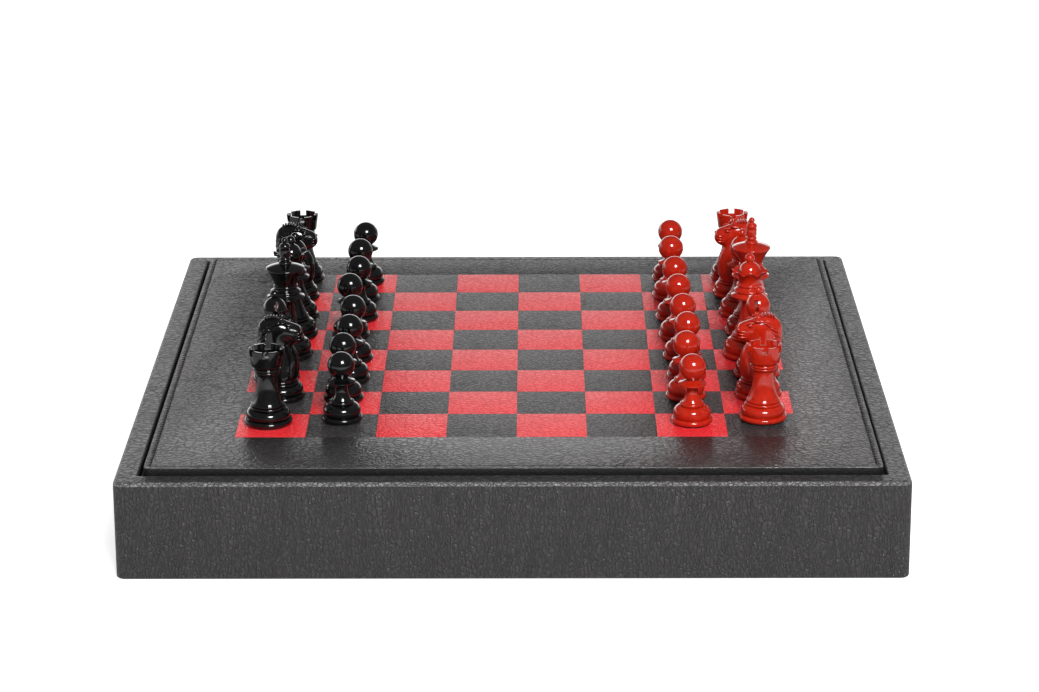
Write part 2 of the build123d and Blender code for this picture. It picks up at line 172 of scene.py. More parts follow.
# %% [markdown]
# ## Light
# The set was photographed on a white sweep with one softbox near the camera, a little above it. Each ball shows it
# as one small round highlight. The white behind the box lies along the mirror direction of the lid, so it is what
# greys the leather, while the dark room in front keeps the black lacquer black. The world copies that: white for
# the camera, bright behind and dim in front.

# %% World, softbox and floor
BACK_LOW = 3.2
BACK_HIGH = 0.1
FRONT = 0.18
LOW_BAND = (0.12, 0.34)
BACKWARDS = (-0.35, 0.94, 0)
BACK_BAND = (0.3, 0.95)
KEY_PLACE = (0.42, -1.75, 1.55)
KEY_AIM = (0, 0, 0.06)
KEY_SIZE = 0.7
KEY_WATTS = 60
FLOOR_HALF = 6
PAPER_LIFT = 0.75
world = bpy.data.worlds.new("white_sweep")
bpy.context.scene.world = world
world.use_nodes = True
tree = world.node_tree
tree.nodes.clear()
direction = add_node(tree, "ShaderNodeTexCoord").outputs["Generated"]
split = add_node(tree, "ShaderNodeSeparateXYZ")
tree.links.new(direction, split.inputs[0])
backwards = add_node(tree, "ShaderNodeVectorMath", {1: BACKWARDS}, operation="DOT_PRODUCT")
tree.links.new(direction, backwards.inputs[0])
behind = add_node(tree, "ShaderNodeMapRange",
                  {"From Min": BACK_BAND[0], "From Max": BACK_BAND[1], "To Min": FRONT})
tree.links.new(backwards.outputs["Value"], behind.inputs["Value"])
tree.links.new(ranged(tree, split.outputs["Z"], *LOW_BAND, BACK_LOW, BACK_HIGH), behind.inputs["To Max"])
rays = add_node(tree, "ShaderNodeLightPath")
strength = add_node(tree, "ShaderNodeMix", {"B": 1.0})
tree.links.new(rays.outputs["Is Camera Ray"], strength.inputs["Factor"])
tree.links.new(behind.outputs["Result"], strength.inputs["A"])
sky = add_node(tree, "ShaderNodeBackground")
tree.links.new(strength.outputs["Result"], sky.inputs["Strength"])
world_out = add_node(tree, "ShaderNodeOutputWorld")
tree.links.new(sky.outputs[0], world_out.inputs["Surface"])


def softbox(name, place, aim, size, watts):
    """A square studio light that looks at a point."""
    lamp = bpy.data.lights.new(name, "AREA")
    lamp.size = size
    lamp.energy = watts
    holder = bpy.data.objects.new(name, lamp)
    holder.location = place
    holder.rotation_euler = (Vector(aim) - Vector(place)).to_track_quat("-Z", "Y").to_euler()
    bpy.context.scene.collection.objects.link(holder)
    return holder


key = softbox("key_softbox", KEY_PLACE, KEY_AIM, KEY_SIZE, KEY_WATTS)

floor_bm = bmesh.new()
bmesh.ops.create_grid(floor_bm, x_segments=1, y_segments=1, size=FLOOR_HALF)
floor_mesh = bpy.data.meshes.new("floor")
floor_bm.to_mesh(floor_mesh)
floor_bm.free()
floor = bpy.data.objects.new("floor", floor_mesh)
bpy.context.scene.collection.objects.link(floor)
white_paper, tree, paper = new_finish("white_paper")
paper.inputs["Base Color"].default_value = (0.86, 0.86, 0.86, 1)
paper.inputs["Roughness"].default_value = 0.9
paper.inputs["Emission Color"].default_value = (1, 1, 1, 1)
rays = add_node(tree, "ShaderNodeLightPath")
lift = add_node(tree, "ShaderNodeMath", {1: PAPER_LIFT}, operation="MULTIPLY")
tree.links.new(rays.outputs["Is Camera Ray"], lift.inputs[0])
tree.links.new(lift.outputs[0], paper.inputs["Emission Strength"])
floor_mesh.materials.append(white_paper)
print("lit by", key.name, "and the white sweep")

# %% [markdown]
# ## Finishes
# Leather is a skin of small pebbles with creases between them, longer one way than the other because the hide is
# pulled round the boards. A Voronoi texture's distance to the cell edges gives the creases, a second finer one the
# small wrinkles, and noise bends both so that no two cells are alike. All of it reads Object coordinates, so it
# stays on the piece. The rim's rounded outer edge and the lid's rounded top edge get a paler leather: a painted
# highlight, the flecks and line of light where those edges catch the softbox.


# %% Leather
WRINKLE_SHARE = 0.45
PORE_SHARE = 0.9


def creases(tree, vector, scale, width):
    """Flat pebbles with narrow creases between them: 0 in a crease, 1 on a pebble."""
    cells = add_node(tree, "ShaderNodeTexVoronoi", {"Scale": scale}, feature="DISTANCE_TO_EDGE")
    tree.links.new(vector, cells.inputs["Vector"])
    return ranged(tree, cells.outputs["Distance"], 0.0, width, 0.0, 1.0)


def leather(name, cell, crease, raised, depth, roughness):
    """Grained hide: cell is a pebble's size in mm, crease and raised its colours low and high."""
    material, tree, shader = new_finish(name)
    vector = bent(tree, stretched(tree, cell), scale=0.11, amount=3.4)
    vector = bent(tree, vector, scale=0.7, amount=0.9)
    pebbles = creases(tree, vector, scale=1.0, width=0.2)
    wrinkles = creases(tree, bent(tree, vector, scale=1.5, amount=0.7), scale=2.1, width=0.26)
    height = summed(tree, pebbles, wrinkles, WRINKLE_SHARE)
    pores = add_node(tree, "ShaderNodeTexNoise", {"Scale": 3.5, "Detail": 3.0})
    tree.links.new(vector, pores.inputs["Vector"])
    height = summed(tree, height, pores.outputs["Fac"], PORE_SHARE)
    bump = add_node(tree, "ShaderNodeBump", {"Strength": 1.0, "Distance": depth * MM})
    tree.links.new(height, bump.inputs["Height"])
    tree.links.new(bump.outputs[0], shader.inputs["Normal"])
    tree.links.new(mixed(tree, ranged(tree, height, 0.5, 1.6, 0, 1), crease, raised), shader.inputs["Base Color"])
    tree.links.new(ranged(tree, height, 0.5, 1.8, roughness + 0.12, roughness - 0.08), shader.inputs["Roughness"])
    return material


BLACK_CREASE = (0.018, 0.017, 0.0172)
BLACK_RAISED = (0.044, 0.041, 0.0415)
# Painted shade: the lid's upright edge and its underside get near-black leather, darker than the border, for the
# shade on that side.
EDGE_SHADE_CREASE = (0.008, 0.008, 0.008)
EDGE_SHADE_RAISED = (0.012, 0.012, 0.012)
RED_CREASE = (0.74, 0.016, 0.022)
RED_RAISED = (0.98, 0.034, 0.044)
WALL_CREASE = (0.025, 0.0234, 0.0238)
WALL_RAISED = (0.041, 0.038, 0.0386)
# Painted highlight: the pale flecks of light along the rim's rounded outer edge, not the leather's own colour.
RIM_HIGHLIGHT_RAISED = (0.24, 0.235, 0.235)
# Painted highlight: the pale line of light along the lid's rounded top edge, not the leather's own colour.
BEAD_HIGHLIGHT_CREASE = (0.04, 0.038, 0.038)
BEAD_HIGHLIGHT_RAISED = (0.17, 0.163, 0.163)
wall_leather = leather("wall_leather", (1.8, 1.8, 4.6), WALL_CREASE, WALL_RAISED, 0.5, 0.42)
rim_leather = leather("rim_leather", (5.0, 3.4, 3.0), BLACK_CREASE, BLACK_RAISED, 0.5, 0.37)
border_leather = leather("border_leather", (4.2, 3.0, 3.0), BLACK_CREASE, BLACK_RAISED, 0.3, 0.37)
# Near-black, smoother leather for the lid's upright edge: its darker colour is painted shade.
edge_shade_leather = leather("edge_shade_leather", (3.0, 3.0, 3.0), EDGE_SHADE_CREASE, EDGE_SHADE_RAISED, 0.05, 0.32)
black_square_leather = leather("black_square_leather", (3.4, 2.6, 2.0), BLACK_CREASE, BLACK_RAISED, 0.4, 0.4)
red_square_leather = leather("red_square_leather", (3.4, 2.6, 2.0), RED_CREASE, RED_RAISED, 0.26, 0.38)
# Paler leather for the lid's rounded top edge: a painted highlight.
bead_highlight_leather = leather("bead_highlight_leather", (6.0, 3.0, 3.0), BEAD_HIGHLIGHT_CREASE, BEAD_HIGHLIGHT_RAISED, 0.1, 0.26)
# Paler leather for the rim's rounded outer edge: a painted highlight.
rim_highlight_leather = leather("rim_highlight_leather", (2.4, 1.8, 1.8), BLACK_CREASE, RIM_HIGHLIGHT_RAISED, 0.5, 0.24)
print("leather in", wall_leather.name, border_leather.name, black_square_leather.name, red_square_leather.name)

# %% [markdown]
# The pieces are dipped in lacquer, so they are smooth and mirror the room. A coat over the colour gives the hard
# highlight. Thick lacquer is never quite flat, so a little slow noise moves both the colour and the surface.


# %% Lacquer, felt, suede, thread and wood
def lacquer(name, deep, bright):
    """Glossy lacquer that wanders slowly between two colours."""
    material, tree, shader = new_finish(name)
    cloud = add_node(tree, "ShaderNodeTexNoise", {"Scale": 0.35, "Detail": 2.0})
    tree.links.new(stretched(tree, (1, 1, 1)), cloud.inputs["Vector"])
    tree.links.new(mixed(tree, ranged(tree, cloud.outputs["Fac"], 0.3, 0.7, 0, 1), deep, bright),
                   shader.inputs["Base Color"])
    bump = add_node(tree, "ShaderNodeBump", {"Strength": 0.12, "Distance": 0.05 * MM})
    tree.links.new(cloud.outputs["Fac"], bump.inputs["Height"])
    tree.links.new(bump.outputs[0], shader.inputs["Normal"])
    tree.links.new(ranged(tree, cloud.outputs["Fac"], 0.3, 0.7, 0.1, 0.16), shader.inputs["Roughness"])
    shader.inputs["Coat Weight"].default_value = 0.2
    shader.inputs["Coat Roughness"].default_value = 0.05
    return material


def nap(name, low, high, cell, sheen):
    """Brushed fibre, for suede and felt."""
    material, tree, shader = new_finish(name)
    fibre = add_node(tree, "ShaderNodeTexNoise", {"Scale": 1.0, "Detail": 4.0, "Roughness": 0.7})
    tree.links.new(stretched(tree, cell), fibre.inputs["Vector"])
    brushed = add_node(tree, "ShaderNodeTexNoise", {"Scale": 0.02, "Detail": 2.0})
    tree.links.new(stretched(tree, (1, 1, 1)), brushed.inputs["Vector"])
    height = summed(tree, fibre.outputs["Fac"], brushed.outputs["Fac"], 0.8)
    tree.links.new(mixed(tree, ranged(tree, height, 0.55, 1.25, 0, 1), low, high), shader.inputs["Base Color"])
    bump = add_node(tree, "ShaderNodeBump", {"Strength": 0.6, "Distance": 0.15 * MM})
    tree.links.new(fibre.outputs["Fac"], bump.inputs["Height"])
    tree.links.new(bump.outputs[0], shader.inputs["Normal"])
    shader.inputs["Roughness"].default_value = 0.95
    shader.inputs["Sheen Weight"].default_value = sheen
    return material


def board_wood(name, dark, pale):
    """Plain sawn board: year rings bent by noise."""
    material, tree, shader = new_finish(name)
    rings = add_node(tree, "ShaderNodeTexWave", {"Scale": 0.5, "Distortion": 5.0, "Detail": 3.0})
    tree.links.new(stretched(tree, (30, 30, 4)), rings.inputs["Vector"])
    tree.links.new(mixed(tree, rings.outputs["Fac"], dark, pale), shader.inputs["Base Color"])
    bump = add_node(tree, "ShaderNodeBump", {"Strength": 0.3, "Distance": 0.1 * MM})
    tree.links.new(rings.outputs["Fac"], bump.inputs["Height"])
    tree.links.new(bump.outputs[0], shader.inputs["Normal"])
    shader.inputs["Roughness"].default_value = 0.7
    return material


LACQUER = {"black": lacquer("black_lacquer", (0.002, 0.002, 0.0022), (0.004, 0.004, 0.0045)),
           "red": lacquer("red_lacquer", (0.4, 0.012, 0.003), (0.5, 0.018, 0.005))}
black_suede = nap("black_suede", (0.012, 0.012, 0.013), (0.04, 0.04, 0.043), (0.5, 0.5, 0.5), 0.3)
dark_felt = nap("dark_felt", (0.01, 0.01, 0.011), (0.03, 0.03, 0.032), (0.4, 0.4, 0.4), 0.1)
waxed_thread = nap("waxed_thread", (0.006, 0.006, 0.006), (0.02, 0.02, 0.021), (0.4, 0.4, 0.4), 0.0)
plain_board = board_wood("plain_board", (0.34, 0.22, 0.12), (0.55, 0.4, 0.25))
print("lacquers", list(LACQUER))


# %% [markdown]
# ## The case
# One hide goes round all four walls. It starts as a flat ring, the top of the rim, cut from a grid whose lines lie on
# the rim's two edges. Its outer edge is extruded down for the walls and then inwards for the hem underneath, its
# inner edge down to the ledge. Bevels round the corners and edges, and a thickness makes it a hide.

# %% Sheet helpers
def middle_of(node):
    """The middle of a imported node's box."""
    low, high = (Vector(corner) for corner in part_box(node))
    return (low + high) / 2


def ring_sheet(bm, across, along, hole, height):
    """A flat ring: a grid laid on these lines across and along, open over the square hole (middle and half side)."""
    bmesh.ops.create_grid(bm, x_segments=len(across) - 1, y_segments=len(along) - 1, size=1)
    for vert in bm.verts:
        column = round((vert.co.x + 1) / 2 * (len(across) - 1))
        row = round((vert.co.y + 1) / 2 * (len(along) - 1))
        vert.co = (across[column], along[row], height)
    middle, half = hole
    inside = [f for f in bm.faces if reach(f.calc_center_median() - middle) < half]
    bmesh.ops.delete(bm, geom=inside, context="FACES")


def reach(point):
    """How far out a point lies, measured square."""
    return max(abs(point.x), abs(point.y))


def edges_at(bm, out, height, slack=0.2 * MM):
    """The edges that lie at a height and at a square distance from the middle."""
    return [e for e in bm.edges
            if all(abs(v.co.z - height) < slack and abs(reach(v.co) - out) < slack for v in e.verts)]


def pulled(bm, edges, vec):
    """Extrudes edges and moves the new ones, which it returns."""
    made = bmesh.ops.extrude_edge_only(bm, edges=edges)["geom"]
    verts = [g for g in made if isinstance(g, bmesh.types.BMVert)]
    bmesh.ops.translate(bm, verts=verts, vec=vec)
    return verts


def rounded_edges(bm, edges, radius, segments):
    """Rounds edges over with a bevel."""
    bmesh.ops.bevel(bm, geom=edges, offset=radius, offset_type="OFFSET", segments=segments, profile=0.5,
                    affect="EDGES", material=-1, clamp_overlap=True)


def corner_posts(bm, out, slack=0.2 * MM):
    """The upright edges at the four corners."""
    return [e for e in bm.edges
            if all(abs(abs(v.co.x) - out) < slack and abs(abs(v.co.y) - out) < slack for v in e.verts)
            and abs(e.verts[0].co.z - e.verts[1].co.z) > slack]


def wrapped_edges(bm, height, out, slack=0.2 * MM):
    """The edges where a level face at this height turns into an upright one, near this distance out."""
    found = []
    for e in bm.edges:
        if len(e.link_faces) != 2 or any(abs(v.co.z - height) > slack for v in e.verts):
            continue
        level = sorted(abs(f.normal.z) for f in e.link_faces)
        if level[0] < 0.1 and level[1] > 0.9 and abs(reach((e.verts[0].co + e.verts[1].co) / 2) - out) < 3 * MM:
            found.append(e)
    return found


def stand(bm, name, body, finishes, replaced=(), crisp=radians(40)):
    """Makes the mesh an object in the scene, on its body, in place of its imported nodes."""
    mesh = bpy.data.meshes.new(name)
    bm.to_mesh(mesh)
    bm.free()
    for finish in finishes:
        mesh.materials.append(finish)
    mesh.shade_smooth()
    mesh.set_sharp_from_angle(angle=crisp)
    piece = bpy.data.objects.new(name, mesh)
    bpy.context.scene.collection.objects.link(piece)
    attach(piece, body)
    if replaced:
        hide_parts(*replaced)
    return piece


def thicken(sheet, thickness):
    """Gives a sheet its thickness, inwards from the side that shows."""
    skin = sheet.modifiers.new("thickness", "SOLIDIFY")
    skin.thickness = thickness
    skin.offset = -1
    return skin


def hem_in(bm, verts, share):
    """Draws the hem's free edge in towards the middle."""
    bmesh.ops.scale(bm, verts=verts, vec=(share, share, 1))


# %% Wall cover
RIM_WIDTH = 12 * MM
CASE_CORNER = 5 * MM
RIM_EDGE = 2 * MM
HIDE = 1.2 * MM
CASE_HEM = 12 * MM
WALL_FACE, RIM_FACE, RIM_HIGHLIGHT_FACE = range(3)
case_low, case_high = (Vector(corner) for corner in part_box("wall_cover"))
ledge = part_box("front_liner")[1][2]
case_out = (case_high.x - case_low.x) / 2
opening = case_out - RIM_WIDTH

bm = bmesh.new()
rim_lines = [-case_out, -opening, opening, case_out]
ring_sheet(bm, rim_lines, rim_lines, (Vector((0, 0, 0)), opening), case_high.z)
pulled(bm, edges_at(bm, opening, case_high.z), (0, 0, ledge - case_high.z))
pulled(bm, edges_at(bm, case_out, case_high.z), (0, 0, case_low.z - case_high.z))
hem_in(bm, pulled(bm, edges_at(bm, case_out, case_low.z), (0, 0, 0)), 1 - CASE_HEM / case_out)
bmesh.ops.recalc_face_normals(bm, faces=bm.faces)
rounded_edges(bm, corner_posts(bm, case_out), CASE_CORNER, 8)
rounded_edges(bm, wrapped_edges(bm, case_high.z, case_out), RIM_EDGE, 5)
rounded_edges(bm, wrapped_edges(bm, case_high.z, opening), HIDE, 4)
rounded_edges(bm, wrapped_edges(bm, case_low.z, case_out), HIDE, 4)
bmesh.ops.remove_doubles(bm, verts=bm.verts, dist=0.01 * MM)
bmesh.ops.recalc_face_normals(bm, faces=bm.faces)
for face in bm.faces:
    face.material_index = RIM_FACE if face.normal.z > 0.9 else WALL_FACE
    # The rim's rounded outer edge gets the paler leather, a painted highlight.
    if 0.1 < face.normal.z < 0.9 and reach(face.calc_center_median()) > opening + RIM_EDGE:
        face.material_index = RIM_HIGHLIGHT_FACE
case_hide = stand(bm, "case_hide", "case", [wall_leather, rim_leather, rim_highlight_leather],
                  ["wall_cover"])
thicken(case_hide, HIDE)
print(case_hide.name, len(case_hide.data.polygons), "faces")

# %% [markdown]
# ## The lid
# The board's border is a second hide, turned round the lid's edges. A line of stitches runs a few millimetres in from
# the edge and pulls the leather down into a groove, so the grid has three lines there and the middle one sinks. On
# the left and right the thread shows too, as short ticks across the seam.

# %% Lid cover and its stitches
LID_EDGE = 1.5 * MM
LID_CORNER = 4.5 * MM
LID_HEM = 14 * MM
STITCH_IN = 3.4 * MM
GROOVE = 0.55 * MM
GROOVE_DEPTH = 0.5 * MM
STITCH_PITCH = 3.8 * MM
STITCH_LENGTH = 2.4 * MM
THREAD = 0.42 * MM
BORDER_FACE, EDGE_SHADE_FACE, BEAD_HIGHLIGHT_FACE = range(3)
lid_low, lid_high = (Vector(corner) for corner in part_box("lid_cover"))
lid_middle = middle_of("lid_cover")
lid_out = (lid_high.x - lid_low.x) / 2
board_out = 4 * SQUARE
seam_out = lid_out - STITCH_IN

bm = bmesh.new()
edge_lines = [seam_out - GROOVE, seam_out, seam_out + GROOVE, lid_out]
board_off = Vector((BOARD_MIDDLE.x - lid_middle.x, BOARD_MIDDLE.y - lid_middle.y, 0))
across, along = ([-v for v in reversed(edge_lines)] + [off - board_out, off + board_out] + edge_lines
                 for off in board_off[:2])
ring_sheet(bm, across, along, (board_off, board_out), lid_high.z)
pulled(bm, edges_at(bm, lid_out, lid_high.z), (0, 0, lid_low.z - lid_high.z))
hem_in(bm, pulled(bm, edges_at(bm, lid_out, lid_low.z), (0, 0, 0)), 1 - LID_HEM / lid_out)
bmesh.ops.remove_doubles(bm, verts=bm.verts, dist=0.01 * MM)
bmesh.ops.recalc_face_normals(bm, faces=bm.faces)
rounded_edges(bm, corner_posts(bm, lid_out), LID_CORNER, 8)
rounded_edges(bm, wrapped_edges(bm, lid_high.z, lid_out), LID_EDGE, 5)
rounded_edges(bm, wrapped_edges(bm, lid_low.z, lid_out), HIDE, 4)
sunk = [v for v in bm.verts if abs(v.co.z - lid_high.z) < 0.01 * MM and abs(reach(v.co) - seam_out) < 0.01 * MM]
bmesh.ops.translate(bm, verts=sunk, vec=(0, 0, -GROOVE_DEPTH))
bmesh.ops.recalc_face_normals(bm, faces=bm.faces)
bmesh.ops.translate(bm, verts=bm.verts, vec=(lid_middle.x, lid_middle.y, 0))
# Faces that do not face up get the near-black edge leather, painted shade.
for face in bm.faces:
    face.material_index = BORDER_FACE if face.normal.z > 0.4 else EDGE_SHADE_FACE
    # The lid's rounded top edge gets the paler leather, a painted highlight.
    if 0.3 < face.normal.z < 0.97 and reach(face.calc_center_median() - lid_middle) > lid_out - LID_EDGE:
        face.material_index = BEAD_HIGHLIGHT_FACE
lid_hide = stand(bm, "lid_hide", "lid", [border_leather, edge_shade_leather, bead_highlight_leather],
                 ["lid_cover"])
thicken(lid_hide, HIDE)

bm = bmesh.new()
stitches = round(2 * seam_out / STITCH_PITCH)
for side in (-1, 1):
    for count in range(stitches):
        spot = Vector((lid_middle.x + side * (seam_out + STITCH_LENGTH / 3),
                       lid_middle.y + (count + 0.5) * 2 * seam_out / stitches - seam_out, lid_high.z))
        shape = Matrix.Diagonal((STITCH_LENGTH / 2, THREAD, THREAD / 2, 1))
        bmesh.ops.create_icosphere(bm, subdivisions=1, radius=1, matrix=Matrix.Translation(spot) @ shape)
lid_stitches = stand(bm, "lid_stitches", "lid", [waxed_thread])
print(lid_hide.name, "and", 2 * stitches, "stitches")

# %% [markdown]
# The squares are separate inlays of thinner leather, cut a hair small, so they lie close with the finest of seams
# between them. Each is a block whose top edge is eased.

# %% Squares
SQUARE_SEAM = 0.06 * MM
SQUARE_EASE = 0.08 * MM
ROWS = 8


def inlays(name, node, parity, finish):
    """All the squares of one colour, counted from the front left corner."""
    low, high = (Vector(corner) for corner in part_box(node))
    bm = bmesh.new()
    first = (1 - ROWS) / 2
    for column in range(ROWS):
        for row in range(ROWS):
            if (column + row) % 2 != parity:
                continue
            spot = (BOARD_MIDDLE.x + (first + column) * SQUARE, BOARD_MIDDLE.y + (first + row) * SQUARE,
                    (low.z + high.z) / 2)
            size = Matrix.Diagonal((SQUARE - SQUARE_SEAM, SQUARE - SQUARE_SEAM, high.z - low.z, 1))
            bmesh.ops.create_cube(bm, size=1, matrix=Matrix.Translation(spot) @ size)
    top = [e for e in bm.edges if all(abs(v.co.z - high.z) < 0.01 * MM for v in e.verts)]
    rounded_edges(bm, top, SQUARE_EASE, 3)
    return stand(bm, name, "lid", [finish], [node])


red_inlays = inlays("red_inlays", "red_squares", 0, red_square_leather)
black_inlays = inlays("black_inlays", "black_squares", 1, black_square_leather)
print(red_inlays.name, black_inlays.name)

# %% [markdown]
# ## Turned pieces
# A chess piece is turned on a lathe, and a spin does the same: half an outline goes once round the piece's axis. The
# outline is drawn from the foot up as straight runs and arcs, the way a turner reads it off: foot, swelling, rings,
# hollow stem, collar and head. Corners are softened a little, because lacquer fills and rounds them.

# %% Lathe
ARC_STEPS = 10
LATHE_STEPS = 72
SOFT_CORNER = 0.28
FOOT_RISE = 2.8
FOOT_ROUND = 0.9
RING_ROUND = 0.6
COLLAR_EDGE = 0.8
SWELL_BELLY = 0.35
STEM_WAIST = 0.68
FELT = 0.8
PAD_INSET = 1.3
PAD_EASE = 0.2
PAD_GAP = 0.02


def arc_points(first, through, last):
    """Points along the arc through three points, without the first."""
    (ax, ay), (bx, by), (cx, cy) = first, through, last
    turn = 2 * (ax * (by - cy) + bx * (cy - ay) + cx * (ay - by))
    if abs(turn) < 1e-6:
        return [last]
    a, b, c = ax * ax + ay * ay, bx * bx + by * by, cx * cx + cy * cy
    mx = (a * (by - cy) + b * (cy - ay) + c * (ay - by)) / turn
    my = (a * (cx - bx) + b * (ax - cx) + c * (bx - ax)) / turn
    start, middle, end = (atan2(y - my, x - mx) for x, y in (first, through, last))
    sweep_way = (end - start) % tau
    if (middle - start) % tau > sweep_way:
        sweep_way -= tau
    radius = hypot(ax - mx, ay - my)
    steps = max(ARC_STEPS, int(abs(sweep_way) / radians(6)))
    return [(mx + radius * cos(start + sweep_way * k / steps), my + radius * sin(start + sweep_way * k / steps))
            for k in range(1, steps + 1)]


class Turning:
    """Half an outline in millimetres from the piece's own foot, drawn upwards."""

    def __init__(self, height):
        self.points = [(0.0, height)]

    @property
    def height(self):
        return self.points[-1][1]

    def line(self, radius, rise=0.0):
        """A straight run to a radius, this much higher up."""
        there = (radius, self.height + rise)
        if hypot(there[0] - self.points[-1][0], rise) > 0.001:
            self.points.append(there)

    def arc(self, through, radius, rise, share=0.5):
        """A round run to a radius, passing through another at this share of the rise."""
        here = self.points[-1]
        self.points += arc_points(here, (through, here[1] + share * rise), (radius, here[1] + rise))

    def ring(self, radius, rise):
        """A rounded ring that stands out to a radius."""
        self.line(radius - RING_ROUND)
        self.arc(radius, radius - RING_ROUND, rise)

    def pedestal(self, foot, swell, swell_rise, ring, ring_rise, rings=2):
        """The foot, the swelling over it and the rings that end it."""
        self.line(foot - FOOT_ROUND)
        self.arc(foot, foot - FOOT_ROUND, FOOT_RISE)
        self.line(swell - FOOT_ROUND)
        self.arc(swell, ring - RING_ROUND, swell_rise, SWELL_BELLY)
        for count in range(rings):
            self.ring(ring - count * RING_ROUND, ring_rise)

    def collar(self, radius, rise, slope, top):
        """A thin disc under the head, hollowed on top."""
        self.line(radius, rise)
        self.line(radius, COLLAR_EDGE)
        self.arc((radius + 2 * top) / 3, top, slope)

    def ball(self, radius, seat):
        """A ball that ends the outline, sunk in where its seat is this wide."""
        self.line(seat)
        middle = self.height + sqrt(radius ** 2 - seat ** 2)
        self.points += arc_points(self.points[-1], (radius, middle), (0.0, middle + radius))

    def softened(self):
        """The outline with its sharp corners cut back and rounded."""
        soft = [self.points[0]]
        for before, here, after in zip(self.points, self.points[1:], self.points[2:]):
            way_in = Vector(here) - Vector(before)
            way_out = Vector(after) - Vector(here)
            if way_in.angle(way_out) < radians(24):
                soft.append(here)
                continue
            cut = min(SOFT_CORNER, 0.4 * way_in.length, 0.4 * way_out.length)
            start = Vector(here) - way_in.normalized() * cut
            end = Vector(here) + way_out.normalized() * cut
            middle = (start + end) / 4 + Vector(here) / 2
            soft += [tuple(start), tuple(middle), tuple(end)]
        return soft + [self.points[-1]]


def spun(bm, points, place, finish=0):
    """Spins an outline round the upright axis through a place."""
    verts = [bm.verts.new((place.x + r * MM, place.y, place.z + z * MM)) for r, z in points]
    edges = [bm.edges.new(pair) for pair in zip(verts, verts[1:])]
    before = set(bm.faces)
    bmesh.ops.spin(bm, geom=verts + edges, cent=place, axis=(0, 0, 1), angle=tau, steps=LATHE_STEPS, use_merge=True)
    for face in set(bm.faces) - before:
        face.material_index = finish


def turned_bm(turning, place, pad=0.0):
    """A bmesh with the turned outline, and the felt pad under it where it has one."""
    bm = bmesh.new()
    spun(bm, turning.softened(), place)
    if pad:
        top = FELT - PAD_GAP
        spun(bm, [(0, 0), (pad - PAD_EASE, 0), (pad, PAD_EASE), (pad, top), (0, top)], place, 1)
    bmesh.ops.remove_doubles(bm, verts=bm.verts, dist=0.004 * MM)
    bmesh.ops.recalc_face_normals(bm, faces=bm.faces)
    return bm


def foot_place(node):
    """The middle of a node's foot."""
    low, high = (Vector(corner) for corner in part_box(node))
    return Vector(((low.x + high.x) / 2, (low.y + high.y) / 2, low.z))


# %% [markdown]
# Cuts such as a rook's battlement and a bishop's slit are sawn out after turning. Here a Boolean modifier does the
# sawing, and its result is kept as the mesh. The felt pad lies a hair under the foot, because the saw may lose a
# pad whose top lies in the plane of the foot.

# %% Saw
def sawn(piece, cutter_bm):
    """Cuts a shape out of a piece and keeps the result as its mesh."""
    blade_mesh = bpy.data.meshes.new("blade")
    cutter_bm.to_mesh(blade_mesh)
    cutter_bm.free()
    blade = bpy.data.objects.new("blade", blade_mesh)
    bpy.context.scene.collection.objects.link(blade)
    saw = piece.modifiers.new("saw", "BOOLEAN")
    saw.operation = "DIFFERENCE"
    saw.object = blade
    bpy.context.view_layer.update()
    cut = bpy.data.meshes.new_from_object(piece.evaluated_get(bpy.context.evaluated_depsgraph_get()))
    piece.modifiers.remove(saw)
    bpy.data.objects.remove(blade)
    whole = piece.data
    piece.data = cut
    bpy.data.meshes.remove(whole)
    cut.name = piece.name
    cut.set_sharp_from_angle(angle=radians(35))


# %% [markdown]
# ### Pawns
# A pawn is a ball on a collar, on a short stem.

# %% Pawn
PAWN_FOOT = 11.3


def make_pawn(node, body, colour, facing):
    turning = Turning(FELT)
    turning.pedestal(PAWN_FOOT, swell=10.3, swell_rise=6.6, ring=6.7, ring_rise=1.9, rings=1)
    turning.line(5.5)
    turning.arc(through=3.4, radius=3.4, rise=8.2, share=STEM_WAIST)
    turning.collar(radius=7.6, rise=1.9, slope=2.2, top=3.6)
    turning.ball(radius=7.5, seat=3.6)
    bm = turned_bm(turning, foot_place(node), PAWN_FOOT - PAD_INSET)
    return stand(bm, f"{node}_turned", body, [LACQUER[colour], dark_felt], [node])


# %% [markdown]
# ### Rooks
# A rook's crown is a cup whose wall is notched like a battlement, with one notch to the front.

# %% Rook
ROOK_FOOT = 13.2
CROWN = 9.8
CUP = 7.5
CUP_DEPTH = 4.6
NOTCHES = 6
NOTCH = (8.0, 3.5, 6.4)


def make_rook(node, body, colour, facing):
    place = foot_place(node)
    turning = Turning(FELT)
    turning.pedestal(ROOK_FOOT, swell=12.1, swell_rise=5.6, ring=9.8, ring_rise=1.6)
    turning.arc(through=5.7, radius=5.7, rise=16.8, share=STEM_WAIST)
    turning.ring(radius=7.0, rise=1.6)
    turning.ring(radius=7.6, rise=1.6)
    turning.line(8.6, rise=1.4)
    turning.line(CROWN, rise=9.2)
    top = turning.height
    turning.line(CUP)
    turning.line(CUP, rise=-CUP_DEPTH)
    turning.line(0.0)
    bm = turned_bm(turning, place, ROOK_FOOT - PAD_INSET)
    rook = stand(bm, f"{node}_turned", body, [LACQUER[colour], dark_felt], [node])
    notches = bmesh.new()
    for notch in range(NOTCHES):
        way = notch * tau / NOTCHES + pi / 2
        reach_out = Matrix.Rotation(way, 4, "Z") @ Matrix.Translation((CROWN * MM, 0, 0))
        size = Matrix.Diagonal((*(side * MM for side in NOTCH), 1))
        spot = Matrix.Translation((place.x, place.y, place.z + top * MM))
        bmesh.ops.create_cube(notches, size=1, matrix=spot @ reach_out @ size)
    sawn(rook, notches)
    return rook


# %% [markdown]
# ### Bishops
# A bishop's head is an egg with a slit sawn into the side that faces the other army.

# %% Bishop
BISHOP_FOOT = 13.3
SLIT = (1.8, 14.0, 21.0)
SLIT_FORWARD = 2.2
SLIT_LEAN = radians(10)


